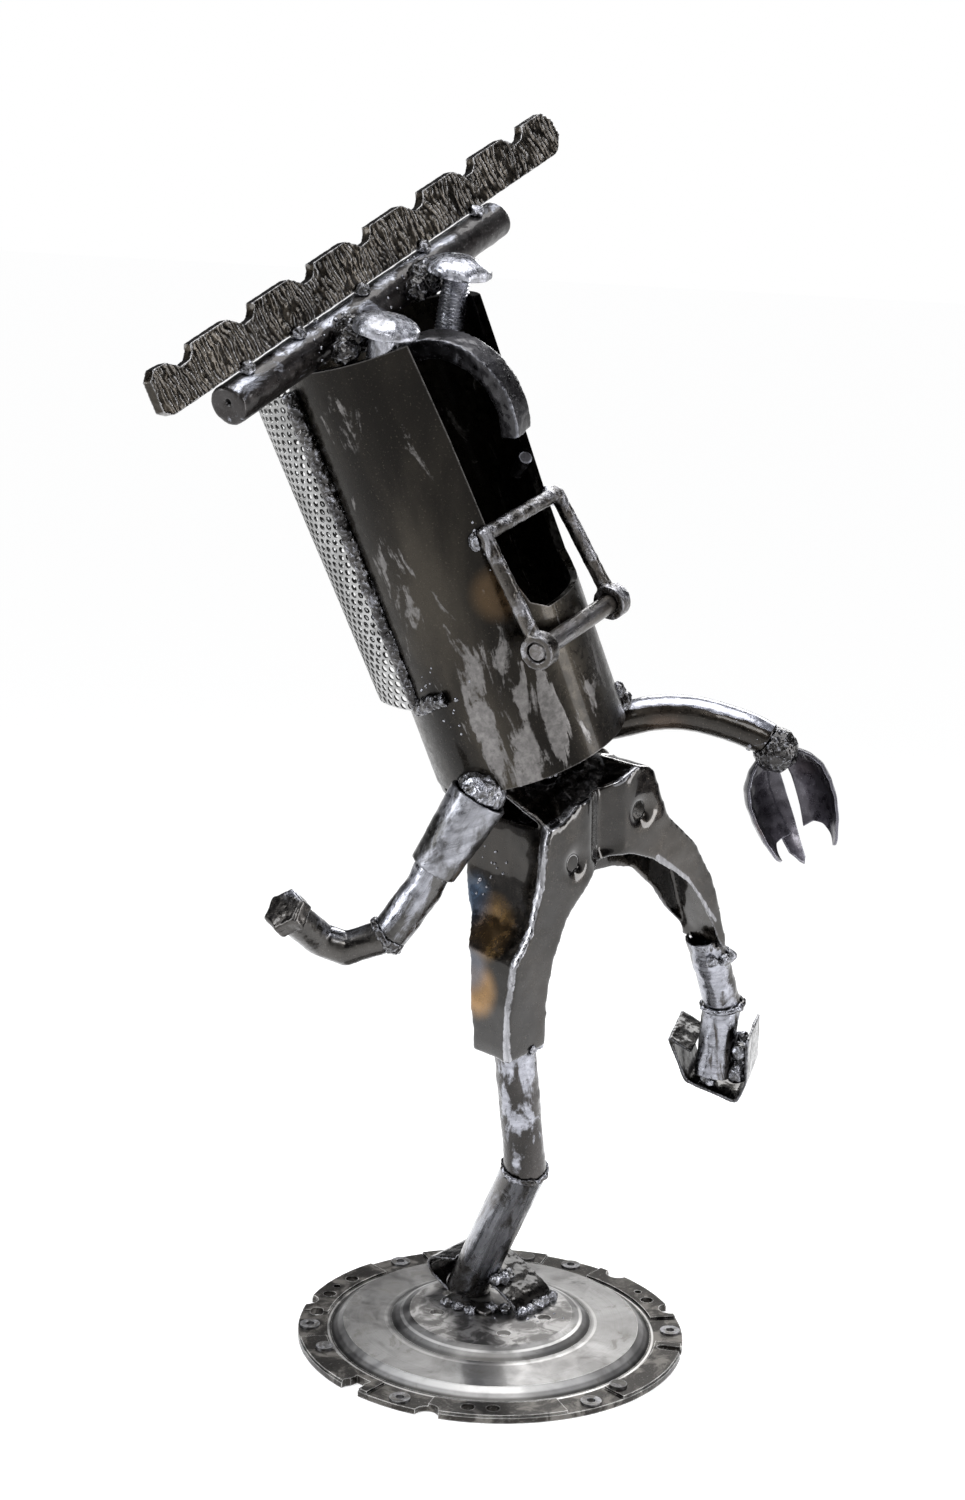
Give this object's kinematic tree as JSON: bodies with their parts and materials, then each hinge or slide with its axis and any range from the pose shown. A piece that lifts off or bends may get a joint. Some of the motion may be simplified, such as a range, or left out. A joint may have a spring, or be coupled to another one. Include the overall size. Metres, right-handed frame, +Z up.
{
  "type": "welded scrap-metal walking figure",
  "caption": "Striding figure welded from pipes, bars, bolts and pressed sheet: one foot on a round pressed disc, pipe head with toothed crest, bolt eyes and a shackle mouth with a loose pin.",
  "frame": {"origin": "middle of the base disc, on the plane of its underside", "axes": "+Z up; the figure faces -Y; +X is towards the figure's own left side"},
  "size_m": [0.435, 0.2899, 0.7292],
  "materials": {
    "scaled_steel": "brown-black mill scale with ground patches under gloss lacquer",
    "ground_steel": "flame-cut face with drag lines, ground bright on the edges, lacquered",
    "pipe_steel": "scaled pipe, sanded bright along one side, gloss lacquer",
    "disc_steel": "satin grey pressed sheet with polished edges and dark pads",
    "rivet_steel": "satin rivet heads",
    "bolt_steel": "bright wire-brushed bolt heads",
    "weld_steel": "rippled silvery weld with dark edges",
    "perforated_steel": "light grey satin perforated sheet",
    "blued_steel": "blue-black heat tint with bright ground edges",
    "forged_steel": "forged steel rubbed bright on the high spots",
    "strip_steel": "dark scaled strip with bright sheared edges"
  },
  "bodies": {
    "figure": {"arm_left": "pipe_steel", "arm_sleeve_right": "pipe_steel", "base_disc": "disc_steel", "brow_bar": "ground_steel", "crest_plate": "ground_steel", "crest_tacks": "weld_steel", "elbow_weld_right": "weld_steel", "eye_bolt_left": "bolt_steel", "eye_bolt_right": "bolt_steel", "eye_weld_left": "weld_steel", "eye_weld_right": "weld_steel", "fist_bolt_right": "forged_steel", "foot_weld_left": "weld_steel", "foot_weld_right": "weld_steel", "forearm_right": "pipe_steel", "hair_sheet": "perforated_steel", "hair_weld_chin": "weld_steel", "hair_weld_left": "weld_steel", "hair_weld_right": "weld_steel", "hand_finger_back": "blued_steel", "hand_finger_inner": "blued_steel", "hand_finger_outer": "blued_steel", "head_tube": "scaled_steel", "hip_weld_left": "weld_steel", "hip_weld_right": "weld_steel", "inner_stub": "forged_steel", "instep_weld_right": "weld_steel", "knee_weld_left": "weld_steel", "knee_weld_right": "weld_steel", "mouth_shackle": "forged_steel", "neck_plate": "scaled_steel", "neck_weld": "weld_steel", "nose_hook": "blued_steel", "pelvis_fork": "scaled_steel", "rim_solid_rivets": "rivet_steel", "rim_tubular_rivets": "rivet_steel", "shackle_weld_left": "weld_steel", "shackle_weld_right": "weld_steel", "shin_left": "pipe_steel", "shin_right": "pipe_steel", "shoe_left": "strip_steel", "shoe_right": "strip_steel", "shoe_strap": "strip_steel", "shoulder_weld_left": "weld_steel", "shoulder_weld_right": "weld_steel", "thigh_left": "pipe_steel", "thigh_right": "pipe_steel", "upper_arm_right": "pipe_steel", "wrist_weld": "weld_steel"},
    "mouth_pin": {"mouth_pin": "forged_steel"}
  },
  "joints": [
    {"name": "mouth_pin_turn", "type": "hinge", "parent": "figure", "child": "mouth_pin", "pos_m": [-0.04868, -0.06507, 0.45379], "axis": [0.9774, -0.0206, 0.2104], "continuous": true}
  ]
}
